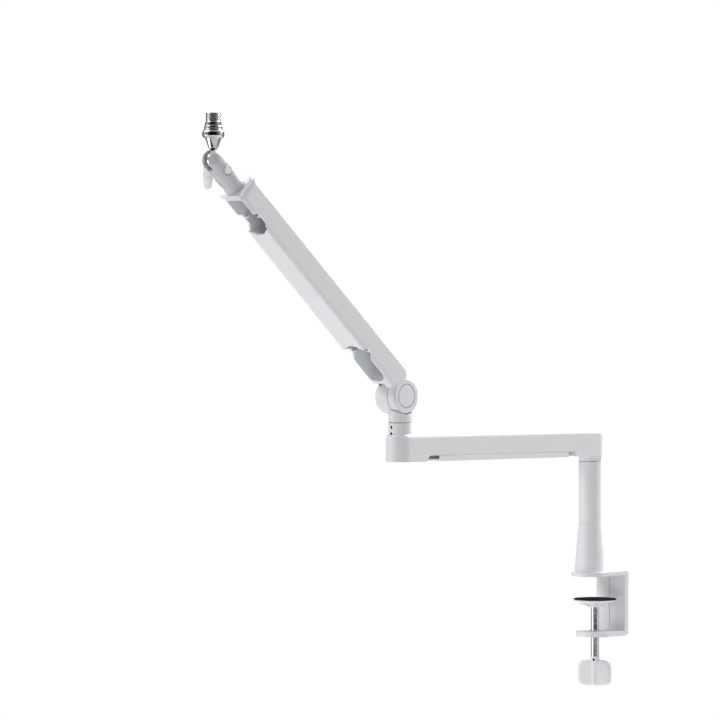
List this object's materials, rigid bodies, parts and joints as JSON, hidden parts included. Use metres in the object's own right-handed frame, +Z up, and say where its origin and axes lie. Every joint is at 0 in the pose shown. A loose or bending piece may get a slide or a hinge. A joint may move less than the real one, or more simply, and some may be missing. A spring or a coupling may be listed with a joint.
{
  "type": "low-profile microphone boom arm",
  "caption": "Low-profile microphone boom arm: a desk clamp and riser carry a level lower arm, a friction elbow, a raised upper arm and a ball head with a threaded stud.",
  "frame": {"origin": "where the riser's swivel axis meets the underside of the clamp's top plate, which rests on the desk", "axes": "+Z up along the riser's axis; the arms reach towards -X in the stored pose; the clamp's back wall is towards +X; the hinge bolt's head faces -Y"},
  "size_m": [0.6632, 0.0599, 0.656],
  "materials": {
    "white_aluminium": "white satin powder coat",
    "white_metal": "satin powder coat",
    "white_plastic": "fine satin",
    "white_bolt": "satin",
    "bright_steel": "bright plated",
    "steel": "plain turned",
    "black_steel": "black oxide",
    "chrome": "bright plated",
    "pad_rubber": "matt",
    "dark_plastic": "matt",
    "bush_plastic": "natural"
  },
  "bodies": {
    "clamp": {"clamp_bracket": "white_metal", "clamp_nut": "steel", "base_screw": "steel", "riser_base_cone": "white_aluminium", "riser_joiner": "steel", "riser_tube": "white_aluminium", "riser_bush_upper": "bush_plastic", "riser_bush_lower": "bush_plastic", "riser_stop_screw": "steel", "swivel_washer": "dark_plastic"},
    "pressure_pad": {"pad_rubber": "pad_rubber", "pad_dish": "white_metal", "pad_retainer": "steel"},
    "screw": {"clamp_screw": "bright_steel", "wing_knob": "white_plastic", "knob_pin": "black_steel"},
    "lower_arm": {"lower_beam": "white_aluminium", "elbow_set_screws": "black_steel", "swivel_pin": "steel", "elbow_bush": "bush_plastic", "elbow_washer": "dark_plastic"},
    "lower_channel_cover": {"lower_cover": "white_plastic"},
    "elbow": {"elbow_post": "white_aluminium", "barrel_grub_screw": "black_steel", "friction_disc": "dark_plastic", "hinge_bolt": "steel", "disc_springs": "steel"},
    "upper_arm": {"upper_beam": "white_aluminium", "elbow_cap": "white_plastic", "upper_end_cap": "white_plastic", "head_collar": "white_aluminium", "head_shell_near": "white_aluminium", "head_shell_far": "white_aluminium", "head_bolt": "white_bolt"},
    "upper_channel_cover": {"upper_cover": "white_plastic"},
    "ball": {"ball_stud": "chrome"},
    "adapter": {"thread_adapter": "chrome"},
    "head_knob": {"head_wing_knob": "white_plastic"}
  },
  "joints": [
    {"name": "pad_slide", "type": "slide", "parent": "clamp", "child": "pressure_pad", "axis": [0, 0, 1], "range_m": [-0.027, 0.022]},
    {"name": "screw_turn", "type": "hinge", "parent": "pressure_pad", "child": "screw", "pos_m": [0.009, 0, -0.0396], "axis": [0, 0, 1], "range_deg": [-6480, 5280]},
    {"name": "base_swivel", "type": "hinge", "parent": "clamp", "child": "lower_arm", "pos_m": [0, 0, 0.138], "axis": [0, 0, 1], "continuous": true},
    {"name": "lower_cover_pull", "type": "slide", "parent": "lower_arm", "child": "lower_channel_cover", "axis": [0, 0, -1], "range_m": [0, 0.03]},
    {"name": "elbow_swivel", "type": "hinge", "parent": "lower_arm", "child": "elbow", "pos_m": [-0.326, 0, 0.1885], "axis": [0, 0, 1], "continuous": true},
    {"name": "elbow_hinge", "type": "hinge", "parent": "elbow", "child": "upper_arm", "pos_m": [-0.326, 0, 0.2183], "axis": [0, 1, 0], "range_deg": [-70, 120]},
    {"name": "upper_cover_pull", "type": "slide", "parent": "upper_arm", "child": "upper_channel_cover", "axis": [-0.6587, 0, -0.7524], "range_m": [0, 0.03]},
    {"name": "ball_tilt", "type": "hinge", "parent": "upper_arm", "child": "ball", "pos_m": [-0.60675, 0.006, 0.47298], "axis": [0, 1, 0], "range_deg": [-133.8, 36.2]},
    {"name": "adapter_spin", "type": "hinge", "parent": "ball", "child": "adapter", "pos_m": [-0.60675, 0.006, 0.48578], "axis": [0, 0, 1], "continuous": true},
    {"name": "head_knob_turn", "type": "hinge", "parent": "upper_arm", "child": "head_knob", "pos_m": [-0.59547, 0.0165, 0.4631], "axis": [0, 1, 0], "range_deg": [0, 540]}
  ],
  "couplings": [
    {"joint": "screw_turn", "follows": "pad_slide", "rad_per_m": 4188.8}
  ]
}
